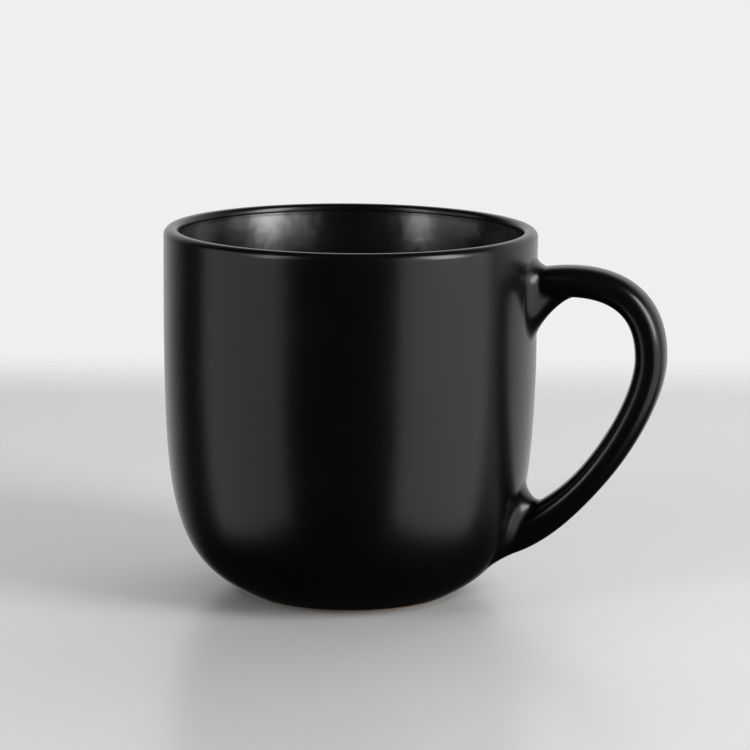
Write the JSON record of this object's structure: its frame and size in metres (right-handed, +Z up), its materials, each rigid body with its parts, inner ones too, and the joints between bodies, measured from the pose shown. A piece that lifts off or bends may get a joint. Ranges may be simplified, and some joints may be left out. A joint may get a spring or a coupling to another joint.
{
  "type": "ceramic mug",
  "caption": "Straight-sided ceramic mug with a bowl-shaped base and one strap handle, satin black outside and glossy black inside, for hot drinks.",
  "frame": {"origin": "on the surface the mug stands on, under the middle of its whole length and width; the cup's own axis is the vertical line at x = -0.01635 m, y = 0", "axes": "+X from the cup towards the handle, +Z up, +Y completes a right-handed frame; the mug is symmetric about the XZ plane"},
  "size_m": [0.1247, 0.092, 0.0904],
  "materials": {
    "stoneware": "matte",
    "slip": "matte",
    "satin_glaze": "satin",
    "gloss_glaze": "gloss"
  },
  "bodies": {
    "root": {"cup_body": "stoneware", "foot_ring": "stoneware", "handle_core": "stoneware", "upper_luting_joint": "slip", "lower_luting_joint": "slip", "body_glaze": "satin_glaze", "handle_glaze": "satin_glaze", "base_glaze": "satin_glaze", "liner_glaze": "gloss_glaze"}
  },
  "joints": []
}
